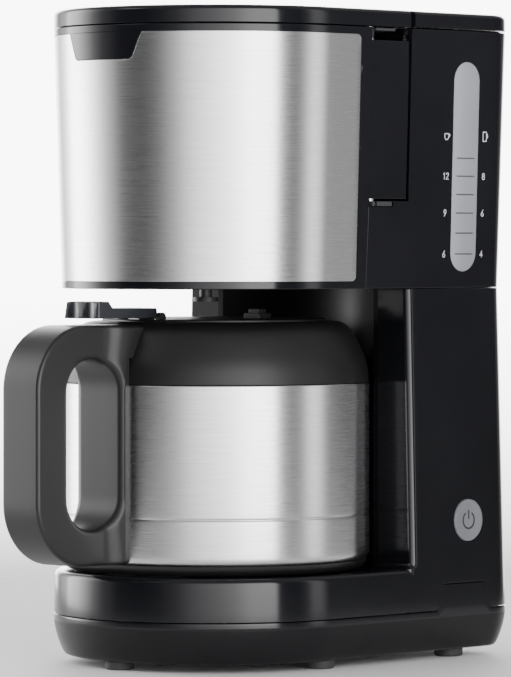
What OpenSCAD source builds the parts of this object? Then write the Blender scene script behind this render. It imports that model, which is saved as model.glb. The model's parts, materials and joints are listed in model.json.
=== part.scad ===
// Compact drip coffee maker with a swing-out filter unit and a thermal jug.
// Millimetres. Origin: centre of the footprint, on the table. +Z up, -Y is the front
// (handle side), +X is the side with the level gauge and the power button.

/* [Body] */
// Overall height
body_h = 334; // [333:0.5:336]
// Half width of the body at its top and foot
half_w = 82.4; // [82.2:0.1:83]
// How far the outline is drawn in at the waist
waist_in = 4.2; // [3.8:0.1:4.4]
// Rear face from the origin
rear_y = 142; // [142:0.5:145]
// Radius of the two rear corners
corner_r = 22; // [21:0.5:23]
// Wall of the moulded housings
wall = 2.5; // [2.3:0.1:2.6]
// Height of the rubber feet
foot_h = 4.5; // [4.2:0.1:4.6]

/* [Jug bay] */
// Top of the deck that the jug stands on
deck_z = 48; // [47.8:0.1:48.1]
// Front edges of the rear column
bay_y = 57; // [56.8:0.1:58]
// Radius of the hollow in the column that nests the jug
bay_r = 82.5; // [82:0.1:83]

/* [Filter unit] */
// Radius of the bucket that holds the filter basket
bucket_r = 58; // [57:0.5:58]
// Opening angle is about this vertical hinge: its x
hinge_x = 70; // [69.8:0.1:70.2]
// The hinge's y
hinge_y = 37; // [36.8:0.1:37]
// Width of the front badge tab at its top
badge_w = 51; // [46:1:54]

/* [Jug] */
// Outer radius of the steel jug
jug_r = 79.9; // [79.5:0.1:80]
// Width of the jug's handle
handle_w = 26.6; // [24:0.2:28]
// Front face of the handle
handle_y = -142; // [-143:0.5:-141]

/* [Controls] */
// Radius of the power button
button_r = 11; // [10:0.5:11]
// Travel of the power button
button_travel = 2; // [1.5:0.1:2]
// Half width of the level gauge's window
gauge_r = 10; // [9:0.5:10.5]

/* [Hidden] */
$fn = 64;
eps = 0.01;
gap = 0.4;
jug_y = -5;
skirt_z = 22;
waist_z = 192;
brew_z = 191.8;
cover_z = body_h - 8.8;
rim_z = cover_z - 0.4;
cover_edge = 55.3;
cheek_y = 27;
door_y = 26;
wing_z = 237.6;
bulkhead_y = 58.8;
bucket = [-6, jug_y];
door_top = cover_z - 0.5;
lid_axis = [58.4, body_h - 2.7];
lug_x = 60;
button_pos = [100.5, 71.3];
gauge_pos = [99.4, 254.5];
gauge_half = 44.3;
heater_r = 45;
heater_z = 20;
rod_up = 12;
heater_end = 58;
feed_z = 328.3;
inlet = [30, 100];
riser = [-70, 66];
lever_axis = [-57, 178.2];
valve_y = -36;
foot_xy = [[0, -73], [-68, 2], [68, 2], [-66, 102], [66, 102]];
post_xy = [[-50, -48], [50, -48], [-62, 112], [62, 112]];
black = [0.05, 0.05, 0.06];
soft_black = [0.12, 0.12, 0.13];
steel = [0.74, 0.74, 0.75];

// ---------- shared shapes ----------

// How far the outline is drawn in at height z: most at the waist, none at top and foot
function draw_in(z) =
  z > waist_z ? waist_in * max(0, cover_z - z) / (cover_z - waist_z)
              : waist_in * max(0, z - skirt_z) / (waist_z - skirt_z);

// Thin slab of the D-shaped plan: half round front, straight flanks, rounded rear corners
module slab(z, cut) {
  translate([0, 0, z]) linear_extrude(eps) {
    translate([0, jug_y]) circle(half_w - cut, $fn = 96);
    for (s = [-1, 1]) translate([s * (half_w - corner_r), rear_y - corner_r])
      circle(corner_r - cut, $fn = 40);
  }
}

// Body between two heights on one side of the waist, its surface moved in by `cut`
module loft(z0, z1, cut) {
  hull() {
    slab(z0, draw_in(z0) + cut);
    slab(z1 - eps, draw_in(z1) + cut);
  }
}

// Box given by its low and high corners
module box(a, b) {
  translate(a) cube(b - a);
}

// Outline in Y and Z extruded along X, centred on x
module along_x(width, x = 0) {
  translate([x, 0, 0]) rotate([90, 0, 90]) linear_extrude(width, center = true) children();
}

// Cylinder along X from x0 to x1
module rod_x(x0, x1, r, fn = 64) {
  translate([x0, 0, 0]) rotate([0, 90, 0]) cylinder(h = x1 - x0, r = r, $fn = fn);
}

// Ring or solid of revolution about the jug's axis
module turned(outline) {
  translate([0, jug_y, 0]) rotate_extrude($fn = 96) polygon(outline);
}

// Rectangle with rounded corners, centred
module rounded(w, d, r) {
  square([w - 2 * r, d], center = true);
  square([w, d - 2 * r], center = true);
  for (x = [-1, 1], y = [-1, 1])
    translate([x * (w / 2 - r), y * (d / 2 - r)]) circle(r);
}

// Round pipe through a list of points
module pipe(points, r, fn = 12) {
  for (i = [0 : len(points) - 2]) {
    run = points[i + 1] - points[i];
    flat = norm([run.x, run.y]);
    translate(points[i]) rotate([0, atan2(flat, run.z), atan2(run.y, run.x)])
      cylinder(h = norm(run), r = r, $fn = fn);
  }
  // the bends are a little wider than the straight runs
  for (i = [1 : 1 : len(points) - 2]) translate(points[i]) sphere(r + 0.2, $fn = fn + 4);
}

// Coil spring standing on z = 0
module coil(r, wire, height, turns) {
  sides = 6;
  steps = turns * 14;
  points = [for (i = [0 : steps], j = [0 : sides - 1])
    let (a = 360 * turns * i / steps, b = 360 * j / sides)
    [(r + wire * cos(b)) * cos(a), (r + wire * cos(b)) * sin(a),
     wire * sin(b) + wire + (height - 2 * wire) * i / steps]];
  skin = [for (i = [0 : steps - 1], j = [0 : sides - 1])
    [i * sides + j, (i + 1) * sides + j, (i + 1) * sides + (j + 1) % sides,
     i * sides + (j + 1) % sides]];
  ends = [[for (j = [0 : sides - 1]) j],
          [for (j = [0 : sides - 1]) steps * sides + sides - 1 - j]];
  polyhedron(points, concat(skin, ends));
}

// Everything below the seam between base shell and lower housing, which steps up
// along both flanks
module below_seam(lift = 0) {
  along_x(200) translate([0, lift]) polygon([
    [-120, -10], [-120, 25.4], [74, 25.4], [77, 27.5], [79, 36.5], [82, 38.8],
    [110, 38.8], [113, 36.5], [115, 27.5], [118, 25.4], [160, 25.4], [160, -10]]);
}

// ---------- housings ----------

module base_shell() {
  color(black) {
    difference() {
      intersection() {
        hull() {
          slab(foot_h, 5.5);
          slab(10.7, 2.7);
          slab(17, 0.8);
          slab(skirt_z, 0);
          slab(39, draw_in(39));
        }
        below_seam();
      }
      hull() {
        slab(foot_h + wall, 8);
        slab(12, 4.9);
        slab(skirt_z, wall);
        slab(40, draw_in(40) + wall);
      }
      translate([40, rear_y, 16]) rotate([90, 0, 0]) cylinder(h = 20, r = 6.5, center = true);
      for (p = post_xy) translate([p.x, p.y, 0]) {
        cylinder(h = 20, r = 1.9);
        translate([0, 0, foot_h - 1]) cylinder(h = 2.4, r = 3.6);
      }
      for (p = foot_xy) translate([p.x, p.y, 0]) cylinder(h = 20, r = 3);
    }
    for (p = post_xy) translate([p.x, p.y, foot_h + 2]) difference() {
      cylinder(h = 16, r = 5);
      translate([0, 0, -1]) cylinder(h = 18, r = 1.9);
    }
  }
}

// Space that the jug stands in: open to the front, hollow towards the column
module bay() {
  box([-100, -120, deck_z], [100, bay_y, brew_z + 1]);
  translate([0, jug_y, deck_z]) cylinder(h = brew_z, r = bay_r, $fn = 96);
}

module lower_housing() {
  color(black) {
    difference() {
      loft(skirt_z, brew_z - 0.2, 0);
      below_seam(gap);
      bay();
      intersection() {
        loft(skirt_z - 2, brew_z + 1, wall);
        union() {
          box([-100, -120, 0], [100, 160, deck_z - wall]);
          difference() {
            box([-100, bay_y + wall, 0], [100, 160, brew_z + 1]);
            translate([0, jug_y, 0]) cylinder(h = brew_z + 1, r = bay_r + wall, $fn = 96);
          }
        }
      }
      translate([0, button_pos[0], button_pos[1]]) rod_x(60, 95, button_r + 0.3);
    }
    for (p = post_xy) difference() {
      union() {
        translate([p.x, p.y, foot_h + 18.4])
          cylinder(h = deck_z - wall - foot_h - 18.2, r = 5);
        // web from a rear post to the flank
        if (p.y > bay_y)
          box([min(p.x, sign(p.x) * 80), p.y - 1.5, 41], [max(p.x, sign(p.x) * 80), p.y + 1.5, 45.6]);
      }
      translate([p.x, p.y, foot_h + 17]) cylinder(h = 13, r = 1.5);
    }
  }
}

// Plan of what stands still beside and behind the filter unit, at all heights
module fixed_plan() {
  translate([-100, bulkhead_y]) square([200, 100]);
  translate([-100, 56]) square([26, 100]);
  translate([74, 56]) square([26, 100]);
  translate([-100, cheek_y]) square([38, 60]);
}

// Block under the hinge, round about the pin so that the filter unit can swing past
module hinge_block_plan() {
  translate([56, hinge_y]) square([40, 24]);
  intersection() {
    translate([hinge_x, hinge_y]) circle(14.2);
    translate([56, 22]) square([40, 30]);
  }
}

module upper_housing() {
  color(black) difference() {
    intersection() {
      loft(brew_z, rim_z, 0);
      union() {
        linear_extrude(body_h) fixed_plan();
        linear_extrude(wing_z - 1.2) hinge_block_plan();
      }
    }
    // rear chamber, open at the top
    intersection() {
      loft(brew_z, cover_z + 2, wall);
      box([-100, bulkhead_y + wall, brew_z + wall], [100, 160, cover_z + 2]);
    }
    // inside of the left cheek and of the hinge block
    intersection() {
      loft(brew_z, cover_z + 2, wall);
      union() {
        box([-100, cheek_y + wall, brew_z + wall], [-62 - wall, bulkhead_y + 5, cover_z + 2]);
        box([58.5, 43, brew_z + wall], [100, bulkhead_y + 5, wing_z - 4]);
      }
    }
    // room for the door's hinge wing to turn
    translate([hinge_x, hinge_y, wing_z - 1.2]) cylinder(h = 120, r = 21.4);
    // hinge pin bore
    translate([hinge_x, hinge_y, 212]) cylinder(h = 40, r = 2.5);
    // seat for the top cover's flange
    box([-61, 50, cover_z - 2.4], [61, 66, cover_z + 5]);
    // window of the level gauge
    gauge_outline(40, 0);
    // hose passages
    for (p = [inlet, riser]) translate([p.x, p.y, brew_z - 1]) cylinder(h = 6, r = 5.6);
    for (x = [-40, 40]) translate([x, bulkhead_y + 1.25, cover_z - 14]) cylinder(h = 20, r = 0.9);
  }
}

// Outer and inner form of the low cap that closes the body, its top edge rounded
module cap(z0) {
  hull() {
    slab(z0, 0);
    slab(body_h - 2.6, 0.1);
    slab(body_h - 0.8, 0.9);
    slab(body_h - eps, 2.6);
  }
}

module cap_hollow() {
  hull() {
    slab(cover_z - 2, wall);
    slab(body_h - wall, wall);
  }
}

module top_cover() {
  color(black) difference() {
    union() {
      difference() {
        cap(cover_z);
        box([-100, cover_edge, cover_z - 1], [100, 160, body_h + 1]);
        difference() {
          cap_hollow();
          box([-100, cover_edge - wall, 0], [100, 160, body_h + 1]);
        }
      }
      // flange that is screwed down on the bulkhead
      box([-60, 50, cover_z - 2.4], [60, 65.6, cover_z + 0.2]);
      // boss for the top of the hinge pin
      translate([hinge_x, hinge_y, cover_z + 0.2]) cylinder(h = 7.5, r = 6);
      // hinge lugs of the tank lid
      for (s = [-1, 1]) {
        box([s * lug_x - 2, cover_edge - 1, cover_z], [s * lug_x + 2, 61, lid_axis[1]]);
        translate([0, lid_axis[0], lid_axis[1]])
          rod_x(s * lug_x - 2, s * lug_x + 2, 2.6);
      }
    }
    translate([hinge_x, hinge_y, cover_z - 1]) cylinder(h = 6, r = 2.5);
    translate([0, lid_axis[0], lid_axis[1]]) rod_x(-lug_x - 5, lug_x + 5, 1.2);
    for (x = [-40, 40]) translate([x, bulkhead_y + 1.25, cover_z - 5])
      cylinder(h = 10, r = 1.6);
  }
}

module water_tank() {
  color([0.35, 0.36, 0.38]) difference() {
    union() {
      translate([0, 102, 199]) linear_extrude(cover_z - 2.8 - 199) rounded(147, 64, 14);
      translate([inlet.x, inlet.y, 187]) cylinder(h = 13, r = 5);
    }
    translate([0, 102, 201]) linear_extrude(140) rounded(143.4, 60.4, 12.2);
    translate([inlet.x, inlet.y, 180]) cylinder(h = 30, r = 3.2);
  }
}

// Upright slot with round ends, `depth` deep from outside, grown by `grow`
module gauge_outline(depth, grow) {
  translate([100 - depth, gauge_pos[0], gauge_pos[1]]) rotate([90, 0, 90])
    linear_extrude(depth) {
      square([2 * (gauge_r + grow), 2 * gauge_half], center = true);
      for (s = [-1, 1]) translate([0, s * gauge_half]) circle(gauge_r + grow);
    }
}

module tick_bars() {
  heights = [0, 10.8, 21.2, 30.8, 40.3, 49.6];
  intersection() {
    for (h = heights) box([70, gauge_pos[0] - 6.8, 209.0 + h], [90, gauge_pos[0] + 6.8, 209.7 + h]);
    difference() {
      loft(brew_z, rim_z, 0);
      loft(brew_z - 1, rim_z + 1, 0.5);
    }
  }
}

module level_gauge() {
  color([0.8, 0.81, 0.83, 0.6]) difference() {
    intersection() {
      gauge_outline(26, -0.1);
      difference() {
        loft(brew_z, rim_z, 0);
        loft(brew_z - 1, rim_z + 1, 3.4);
      }
    }
    tick_bars();
  }
}

module gauge_marks() {
  color([0.1, 0.1, 0.1]) tick_bars();
}

// ---------- water and heat ----------

module shower_head() {
  color(soft_black) translate([bucket.x, bucket.y, 0]) difference() {
    union() {
      translate([0, 0, 318.2]) cylinder(h = 4, r = 30);
      translate([0, 0, 321]) cylinder(h = body_h - wall - 321, r = 7);
    }
    translate([0, 0, 320]) cylinder(h = 9, r = 4);
    translate([0, 0, feed_z]) rotate([0, 90, atan2(4.4, -5.4)]) cylinder(h = 10, r = 1.9);
    for (ring = [[6, 10], [12, 18], [18, 25]], i = [0 : ring[0] - 1])
      rotate(360 * i / ring[0]) translate([ring[1], 0, 310]) cylinder(h = 20, r = 1.2, $fn = 16);
  }
}

// Up the left flank of the column, through the cheek and under the top cover
module riser_tube() {
  run = [[-heater_r, heater_end + 2.2, heater_z], [riser.x, riser.y, heater_z + 12],
         [riser.x, riser.y, 310], [riser.x, 50, 317], [-67.5, 44, feed_z], [-11.4, -0.6, feed_z]];
  color([0.75, 0.74, 0.7]) difference() {
    pipe(run, 2.9);
    pipe(run, 1.7);
  }
}

module inlet_hose() {
  run = [[inlet.x, inlet.y, 186.5], [inlet.x, inlet.y, 100], [heater_r, 88, heater_z + 6],
         [heater_r, heater_end + 2.2, heater_z]];
  color([0.75, 0.74, 0.7]) difference() {
    pipe(run, 5);
    pipe(run, 3.2);
    translate([inlet.x, inlet.y, 140]) cylinder(h = 18.4, r = 7);
  }
}

module check_valve() {
  color([0.85, 0.83, 0.75]) translate([inlet.x, inlet.y, 140.2]) difference() {
    union() {
      cylinder(h = 18, r = 6);
      translate([0, 0, 6]) cylinder(h = 6, r = 7.4);
    }
    translate([0, 0, -1]) cylinder(h = 20, r = 2.4);
  }
}

// U-shaped run about the jug's axis, open to the rear, with a given cross-section
module u_run(reach) {
  translate([0, jug_y, heater_z]) {
    rotate([0, 0, 180]) rotate_extrude(angle = 180) translate([heater_r, 0]) children();
    for (s = [-1, 1]) translate([s * heater_r, reach - jug_y, 0]) rotate([90, 0, 0])
      linear_extrude(reach - jug_y) children();
  }
}

module heater_body() {
  color([0.8, 0.8, 0.82]) u_run(heater_end) difference() {
    union() {
      circle(6.5);
      translate([-3, 0]) square([6, 10]);
      translate([-5, 7]) square([10, 2]);
    }
    circle(3.6);
    translate([0, rod_up]) circle(4.05);
  }
}

module heating_element() {
  color([0.5, 0.5, 0.5]) {
    u_run(heater_end + 4) translate([0, rod_up]) circle(4);
    for (s = [-1, 1]) translate([s * heater_r, heater_end + 4, heater_z + rod_up])
      rotate([-90, 0, 0]) cylinder(h = 7, r = 1.2);
  }
}

module heater_bracket() {
  color([0.7, 0.7, 0.72]) for (s = [-1, 1], y = [5, 40]) translate([s * heater_r, y, 0])
    difference() {
      box([-11, 0, foot_h + wall + 0.05], [11, 3, heater_z + 6]);
      box([-6.6, -1, heater_z], [6.6, 4, heater_z + 7]);
      translate([0, -1, heater_z]) rotate([-90, 0, 0]) cylinder(h = 5, r = 6.6);
    }
}

module thermostat() {
  color([0.82, 0.8, 0.74]) translate([0, jug_y - heater_r, heater_z + rod_up + 4.1]) {
    cylinder(h = 6.5, r = 8);
    for (s = [-1, 1]) box([s * 4 - 2, -0.4, 6], [s * 4 + 2, 0.4, 9]);
  }
}

module thermal_fuse() {
  color([0.85, 0.85, 0.8]) translate([heater_r + 9.5, 12, heater_z + 6]) rotate([-90, 0, 0])
    cylinder(h = 24, r = 2.2);
}

// ---------- controls and wiring ----------

module power_switch() {
  color(soft_black) translate([0, button_pos[0], button_pos[1]]) difference() {
    union() {
      box([50, -9, -8], [64, 9, 8]);
      rod_x(64, 66, 8);
    }
    rod_x(61.8, 67, 6.9);
  }
}

module button_guide() {
  color(soft_black) translate([0, button_pos[0], button_pos[1]]) difference() {
    rod_x(66, 78.3, 15);
    rod_x(65, 80, 12.6);
  }
}

module power_button() {
  color([0.6, 0.61, 0.64]) translate([0, button_pos[0], button_pos[1]]) difference() {
    union() {
      rod_x(74, 81.8, button_r);
      rod_x(74, 76, 12.3);
      rod_x(65.8 + button_travel, 75, 2.5);
    }
    rod_x(81.4, 82, 6.05);
  }
}

module button_symbol() {
  color([0.05, 0.05, 0.05]) translate([81.4, button_pos[0], button_pos[1]])
    rotate([90, 0, 90]) linear_extrude(0.35) {
      difference() {
        circle(6);
        circle(5);
        translate([-1.6, 0]) square([3.2, 8]);
      }
      translate([-0.5, 0.5]) square([1, 5]);
    }
}

module button_spring() {
  color(steel) translate([64.2, button_pos[0], button_pos[1]]) rotate([0, 90, 0])
    coil(5, 0.5, 9.6, 5);
}

module wiring_loom() {
  color([0.55, 0.1, 0.08]) {
    pipe([[40, 128.6, 16], [40, 118, 16], [56, 108, 30], [56, 105, 62.8]], 1.6, 8);
    pipe([[34, 122, 16], [20, 100, 30], [20, -20, 40], [5, jug_y - heater_r + 8, 40]], 1.4, 8);
    pipe([[58, 96, 62.6], [60, 70, 34], [57, 46, 30], [54.5, 36.3, 27]], 1.4, 8);
  }
}

module cord_gland() {
  color(soft_black) translate([40, rear_y - 0.3, 16]) rotate([90, 0, 0]) difference() {
    union() {
      cylinder(h = 13, r = 6.4);
      translate([0, 0, 8]) cylinder(h = 2.5, r = 8.5);
    }
    translate([0, 0, -1]) cylinder(h = 15, r = 3.4);
  }
}

module feet() {
  color([0.07, 0.07, 0.07]) for (p = foot_xy) translate([p.x, p.y, 0]) {
    cylinder(h = foot_h, r = 7.5);
    cylinder(h = foot_h + wall + 1.5, r = 2.9);
  }
}

module base_screws() {
  color([0.6, 0.6, 0.6]) for (p = post_xy) translate([p.x, p.y, foot_h]) {
    cylinder(h = 1.4, r = 3.3);
    cylinder(h = 28, r = 1.45);
  }
}

module cover_screws() {
  color([0.6, 0.6, 0.6]) for (x = [-40, 40]) translate([x, bulkhead_y + 1.25, 0]) {
    translate([0, 0, cover_z + 0.25]) cylinder(h = 1.8, r = 2.6);
    translate([0, 0, cover_z - 13]) cylinder(h = 13.5, r = 0.85);
  }
}

module door_hinge_pin() {
  color(steel) translate([hinge_x, hinge_y, 214]) cylinder(h = cover_z + 4.5 - 214, r = 2.45);
}

module lid_hinge_pins() {
  color(steel) for (s = [-1, 1]) translate([0, lid_axis[0], lid_axis[1]])
    rod_x(s * lug_x - 5.5, s * lug_x + 5.5, 1.15);
}

// ---------- filter unit ----------

// Plan of the filter unit below the wing: front half round
module door_plan() {
  difference() {
    translate([-100, -100]) square([200, 100 + door_y]);
    translate([hinge_x, hinge_y]) circle(14.6);
  }
}

// Plan of the hinge wing: round about the pin behind it
module wing_plan() {
  intersection() {
    translate([50, 18]) square([50, 36]);
    union() {
      translate([hinge_x, hinge_y]) circle(20.6);
      translate([50, 0]) square([50, hinge_y]);
    }
  }
}

module door_shell() {
  wing_top = cover_z - 7;
  bucket_top = cover_z - 9;
  color(black) difference() {
    union() {
      // outer skin and floor
      intersection() {
        difference() {
          loft(brew_z, door_top, 0);
          loft(brew_z + wall, door_top + 1, wall + 0.9);
        }
        linear_extrude(body_h) door_plan();
      }
      // bucket
      translate([bucket.x, bucket.y, brew_z]) difference() {
        cylinder(h = bucket_top - brew_z, r = bucket_r, $fn = 96);
        translate([0, 0, wall]) cylinder(h = 130, r = bucket_r - 2, $fn = 96);
      }
      // walls that close the back on either side of the bucket
      difference() {
        for (s = [0, 1]) mirror([s, 0, 0]) translate([0, 20.5, 0]) rotate([90, 0, 0])
          linear_extrude(2.5) polygon([[35, brew_z], [72.5, brew_z], [76.6, bucket_top],
            [35, bucket_top]]);
        translate([bucket.x, bucket.y, 0]) cylinder(h = 400, r = bucket_r - 1, $fn = 96);
      }
      // hinge wing with its knuckle
      difference() {
        intersection() {
          loft(wing_z, wing_top, 0);
          linear_extrude(body_h) wing_plan();
        }
        difference() {
          loft(wing_z + 4, wing_top - 4, wall);
          translate([hinge_x, hinge_y, 0]) cylinder(h = 400, r = 6);
        }
      }
    }
    // running bore for the hinge pin
    translate([hinge_x, hinge_y, 200]) cylinder(h = 140, r = 2.5);
    // pocket of the steel panel
    difference() {
      box([-100, -100, 195.7], [100, 18, door_top - 3.9]);
      loft(brew_z, door_top, 0.95);
    }
    badge_space();
    // outlet of the bucket
    translate([bucket.x, bucket.y, 180]) cylinder(h = 30, r = 4.2);
  }
}

module steel_panel() {
  color(steel) difference() {
    intersection() {
      box([-100, -100, 195.7], [100, 18, door_top - 3.9]);
      difference() {
        loft(brew_z, door_top, 0);
        loft(brew_z - 1, door_top + 1, 0.9);
      }
    }
    badge_space();
  }
}

// Tab that hangs from the top border at the centre of the front
module badge_space() {
  translate([0, jug_y - half_w + 6, 0]) rotate([90, 0, 0]) linear_extrude(12)
    polygon([[-badge_w / 2, 320.9], [-badge_w / 2 + 5.5, 308.6], [-badge_w / 2 + 7.5, 307.4],
             [badge_w / 2 - 7.5, 307.4], [badge_w / 2 - 5.5, 308.6], [badge_w / 2, 320.9]]);
}

module badge_tab() {
  color(black) intersection() {
    badge_space();
    difference() {
      loft(brew_z, door_top, 0);
      loft(brew_z - 1, door_top + 1, wall + 0.9);
    }
  }
}

module filter_basket() {
  color([0.16, 0.16, 0.17]) translate([bucket.x, bucket.y, 0]) difference() {
    union() {
      rotate_extrude($fn = 96) polygon([
        [5.5, 199], [18, 199], [26, 206], [52.5, 300], [55.2, 300], [55.2, 312],
        [53.7, 312], [53.7, 301.6], [51.2, 301.6], [24.6, 207.4], [17.4, 200.8], [5.5, 200.8]]);
      for (i = [0 : 11]) rotate(30 * i) intersection() {
        box([20, -0.5, 201], [53, 0.5, 298]);
        rotate_extrude($fn = 96) polygon([[15, 199.5], [19, 199.5], [27, 206], [52.6, 299],
          [50, 299], [22, 206]]);
      }
    }
    translate([0, 0, 190]) cylinder(h = 20, r = 5.5);
  }
}

module drip_valve() {
  color([0.3, 0.3, 0.32]) translate([bucket.x, bucket.y, 0]) {
    translate([0, 0, 184.9]) cylinder(h = 17, r = 3.2);
    translate([0, 0, 184.9]) cylinder(h = 2.2, r = 6.5);
    translate([0, 0, 201.6]) cylinder(h = 1.8, r = 9);
  }
}

module valve_seal() {
  color([0.6, 0.2, 0.15]) translate([bucket.x, bucket.y, 199]) difference() {
    translate([0, 0, 2.2]) cylinder(h = 0.4, r = 8);
    translate([0, 0, 2]) cylinder(h = 1, r = 3.2);
  }
}

module valve_spring() {
  color(steel) translate([bucket.x, bucket.y, 203.4]) coil(3.6, 0.4, 9, 4);
}

// ---------- tank lid ----------

// Slab of the plan behind the lid's front edge, `back` further back
module lid_slab(z, cut, back = 0) {
  intersection() {
    slab(z, cut);
    box([-100, lid_axis[0] + back, 0], [100, 160, body_h + 1]);
  }
}

module tank_lid() {
  color(black) difference() {
    hull() {
      lid_slab(cover_z + 0.4, 0);
      lid_slab(body_h - 2.6, 0.1);
      lid_slab(body_h - 0.8, 0.9);
      lid_slab(body_h - eps, 2.6);
      // rounded hinge edge
      translate([0, lid_axis[0], lid_axis[1]]) rod_x(3 - half_w, half_w - 3, 2.5, 12);
    }
    hull() {
      lid_slab(cover_z - 2, wall, 2 * wall);
      lid_slab(body_h - wall, wall, 2 * wall);
    }
    for (s = [-1, 1])
      box([s * lug_x - 2.4, 50, cover_z - 1], [s * lug_x + 2.4, 62, body_h + 1]);
    translate([0, lid_axis[0], lid_axis[1]]) rod_x(-lug_x - 6, lug_x + 6, 1.2);
    // room over the heads of the cover's screws
    for (x = [-40, 40]) translate([x, bulkhead_y + 1.25, cover_z]) cylinder(h = 3.2, r = 5.5);
  }
}

// ---------- jug ----------

module jug_base() {
  color(black) turned([[0, 50.3], [70, 50.3], [71, 48.3], [74, 48.3], [77.4, 50.2],
    [78.6, 53.5], [60, 53.5], [58, 52.4], [0, 52.4]]);
}

module jug_shell() {
  color(steel) turned([[62, 53.6], [77, 53.6], [79, 54.7], [jug_r, 57], [jug_r, 76.3],
    [jug_r - 0.3, 76.7], [jug_r, 77.1], [jug_r, 143.6], [jug_r - 0.9, 143.6],
    [jug_r - 0.9, 57.4], [78.3, 55.5], [76.7, 54.6], [62, 54.6]]);
}

module jug_liner() {
  color([0.8, 0.8, 0.82]) turned([[0, 58], [62, 58], [72, 62], [75, 70], [75, 138], [72, 148],
    [62, 155], [49, 158], [46, 160], [46, 163.9], [45, 163.9], [45, 159.4], [48.4, 157],
    [61.6, 154], [71.2, 147.2], [74, 137.8], [74, 70.3], [71.2, 62.8], [61.8, 59], [0, 59]]);
}

module jug_collar() {
  color(soft_black) turned([[79.6, 143.8], [79.3, 150], [78.7, 153], [77, 158], [72.6, 167.5],
    [68.5, 172.6], [64, 174.8], [58.4, 175.2], [58.4, 164], [47.6, 164], [47.6, 161],
    [56, 160.4], [68, 156.6], [76.2, 149], [76.8, 143.8]]);
}

module collar_seal() {
  color([0.5, 0.5, 0.5]) turned([[46, 161.4], [47.6, 161.4], [47.6, 163.6], [46, 163.6]]);
}

module handle_outline() {
  y0 = handle_y;
  z0 = 54;
  z1 = 174;
  r = 32;
  translate([y0 + r, z0 + r]) circle(r);
  translate([y0 + r, z1 - r]) circle(r);
  translate([y0, z0 + r]) square([60, z1 - z0 - 2 * r]);
  translate([y0 + r, z0]) square([55, z1 - z0]);
}

module handle_opening() {
  y0 = handle_y + 19;
  y1 = jug_y - 82.4;
  r = (y1 - y0) / 2;
  for (z = [72 + r, 157 - r]) translate([y0 + r, z]) circle(r);
  translate([y0, 72 + r]) square([2 * r, 85 - 2 * r]);
}

module jug_handle() {
  color(soft_black) difference() {
    union() {
      along_x(handle_w) difference() {
        handle_outline();
        handle_opening();
      }
      // cradle that hugs the jug
      intersection() {
        translate([0, jug_y, 56]) cylinder(h = 112, r = 82.4, $fn = 96);
        box([-17, -100, 56], [17, -70, 160]);
      }
    }
    translate([0, jug_y, 40]) cylinder(h = 150, r = jug_r + 0.1, $fn = 96);
    translate([0, -100, 64]) rotate([-90, 0, 0]) cylinder(h = 40, r = 1.7);
  }
}

module handle_screws() {
  color([0.6, 0.6, 0.6]) translate([0, -97, 64]) rotate([-90, 0, 0]) cylinder(h = 12.1, r = 1.65);
}

module jug_lid() {
  color(soft_black) difference() {
    union() {
      turned([[20, 153], [44, 153], [44, 164.4], [57.8, 164.4], [57.8, 175.6], [57, 176.4],
        [0, 176.4], [0, 173.6], [18, 173.6], [18, 155]]);
      // ears of the lever's pin
      for (s = [-1, 1]) box([s * 13.6 - 1.6, -59.5, 176], [s * 13.6 + 1.6, -54.5, 180.3]);
      // stepped stop under the filter unit
      box([10, 6.6, 176], [22, 14.6, 179]);
      box([12, 8, 178.5], [20, 13.2, 181.2]);
    }
    translate([0, lever_axis[0], lever_axis[1]]) rod_x(-16, 16, 1.5);
    // passage of the lever's inner arm: down at the edge, then inwards under the top
    box([-6.4, -56.4, 168.9], [6.4, -51.2, 177]);
    box([-6.4, -52, 168.9], [6.4, valve_y + 4.5, 174.2]);
    // chamber, outlet and stem hole of the pour valve
    translate([0, valve_y, 164.1]) cylinder(h = 3.3, r = 5.5);
    translate([0, valve_y, 150]) cylinder(h = 15, r = 3.5);
    translate([0, valve_y, 166]) cylinder(h = 4, r = 1.5);
  }
}

module lid_seal() {
  color([0.55, 0.55, 0.55]) turned([[44, 157], [44.7, 157.6], [44.7, 159], [44, 159.6]]);
}

module lever_pin() {
  color(steel) translate([0, lever_axis[0], lever_axis[1]]) rod_x(-15, 15, 1.45);
}

module lid_lever() {
  y0 = jug_y - 96;
  color([0.16, 0.17, 0.2]) difference() {
    along_x(22) polygon([[y0, 177.2], [y0 + 0.8, 185.6], [y0 + 9.6, 185.8], [y0 + 12.6, 182.2],
      [y0 + 45, 182.2], [y0 + 47, 178.2], [y0 + 46, 177.4], [y0 + 12, 177.2]]);
    translate([0, lever_axis[0], lever_axis[1]]) rod_x(-16, 16, 1.5);
  }
}

// Arm fixed to the rear end of the lever, which reaches through the lid to the pour valve
module lever_arm() {
  color([0.16, 0.17, 0.2]) difference() {
    along_x(8) polygon([[-55.4, 177.3], [-55.4, 169.4], [valve_y + 3, 169.4],
      [valve_y + 3, 171], [-52.4, 171.2], [-52.4, 178.15], [-53.9, 178.15], [-54.9, 177.35]]);
    box([-1.6, valve_y - 3, 165], [1.6, valve_y + 6, 180]);
  }
}

module pour_valve() {
  color([0.4, 0.4, 0.42]) translate([0, valve_y, 0]) {
    translate([0, 0, 164.6]) cylinder(h = 1.2, r = 5);
    translate([0, 0, 165]) cylinder(h = 6.8, r = 1.2);
    translate([0, 0, 171.4]) cylinder(h = 1.3, r = 3);
  }
}

module pour_seal() {
  color([0.6, 0.2, 0.15]) translate([0, valve_y, 164.1]) cylinder(h = 0.5, r = 4.8);
}

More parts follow.
